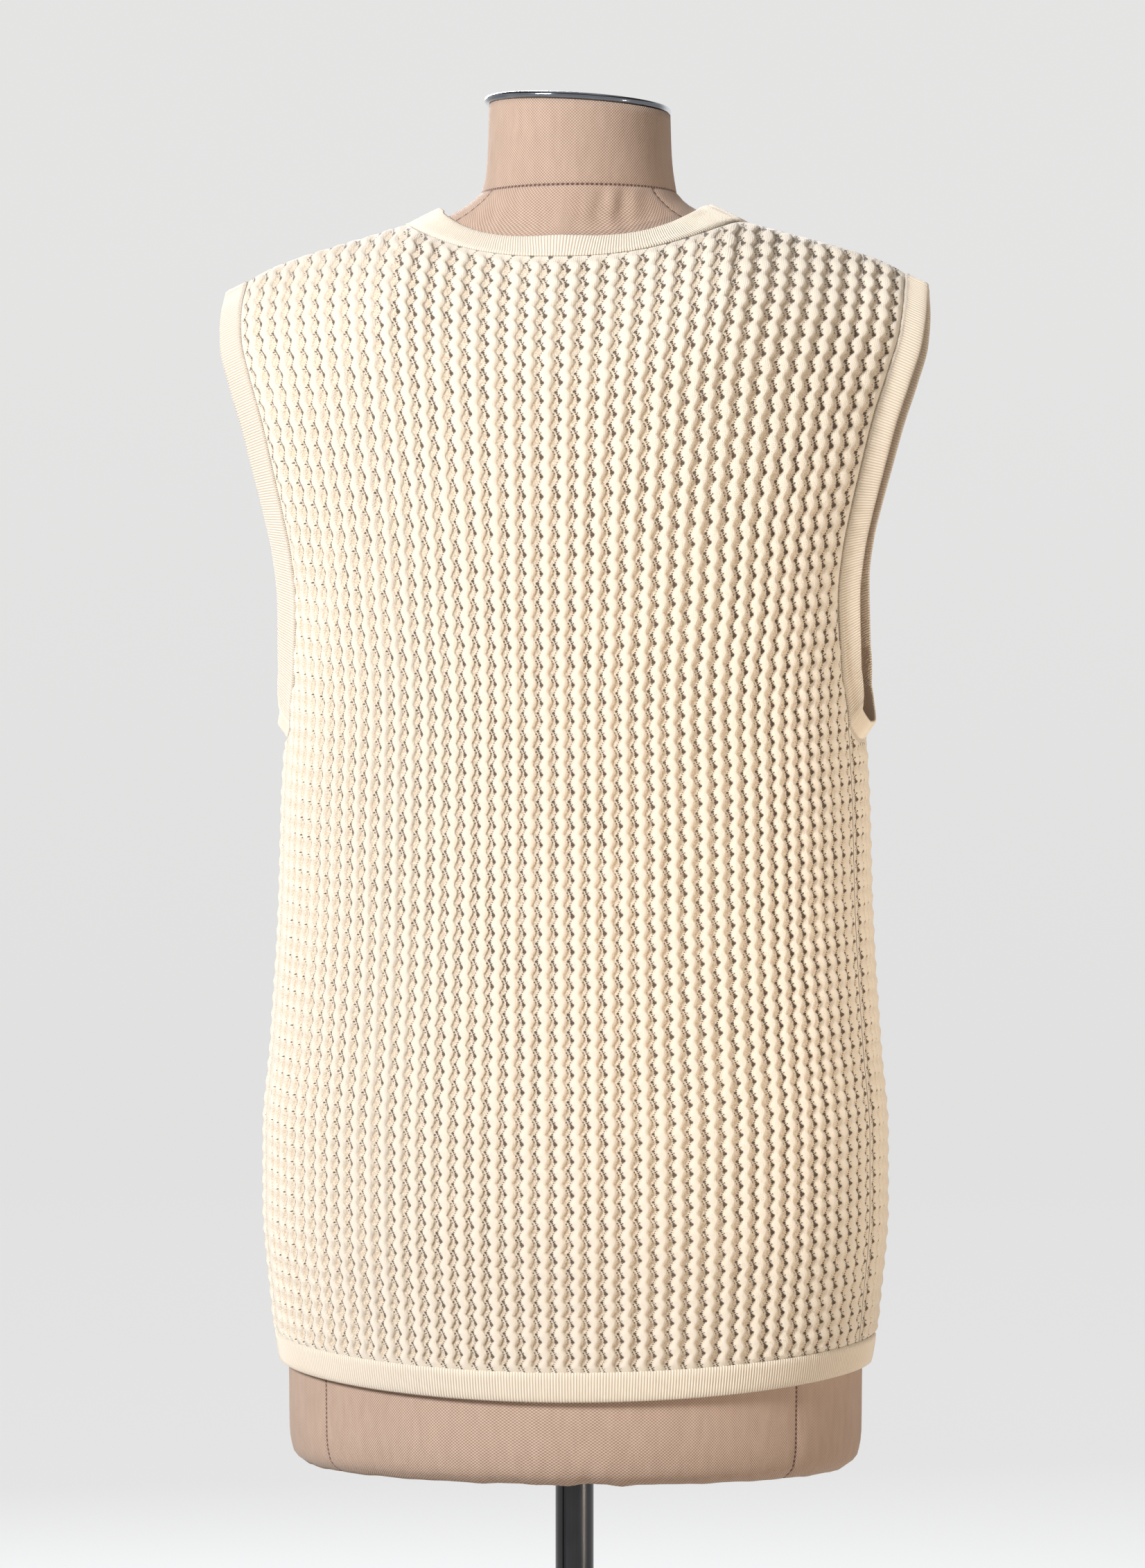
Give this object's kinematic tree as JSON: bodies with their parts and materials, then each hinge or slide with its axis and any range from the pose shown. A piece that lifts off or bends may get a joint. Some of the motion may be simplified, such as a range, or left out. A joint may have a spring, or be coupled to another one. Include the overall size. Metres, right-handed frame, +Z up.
{
  "type": "sleeveless openwork cardigan on a limbless dress form with stand",
  "caption": "Buttoned sleeveless openwork-knit cardigan with rib bands, hanging on a covered limbless dress form on a pole and round base.",
  "frame": {"origin": "on the floor, at the centre of the round base, under the pole", "axes": "+Z up; the front of the cardigan and of the dress form faces -Y; the wearer's left is +X"},
  "size_m": [0.42, 0.42, 1.4076],
  "materials": {
    "knit": "cream cotton openwork knit",
    "rib": "cream cotton fine rib knit",
    "button": "polished",
    "cover": "taupe woven cover",
    "chrome": "polished",
    "metal": "satin black"
  },
  "bodies": {
    "root": {"knit_back": "knit", "knit_front_left": "knit", "knit_front_right": "knit", "neck_band": "rib", "armhole_band_left": "rib", "armhole_band_right": "rib", "hem_band": "rib", "button_band_left": "rib", "button_band_right": "rib", "button_1": "button", "button_2": "button", "button_3": "button", "button_4": "button", "button_5": "button", "button_6": "button", "form_torso": "cover", "neck_cap": "chrome", "stand_pole": "metal", "stand_collar": "metal", "stand_base": "metal"}
  },
  "joints": []
}
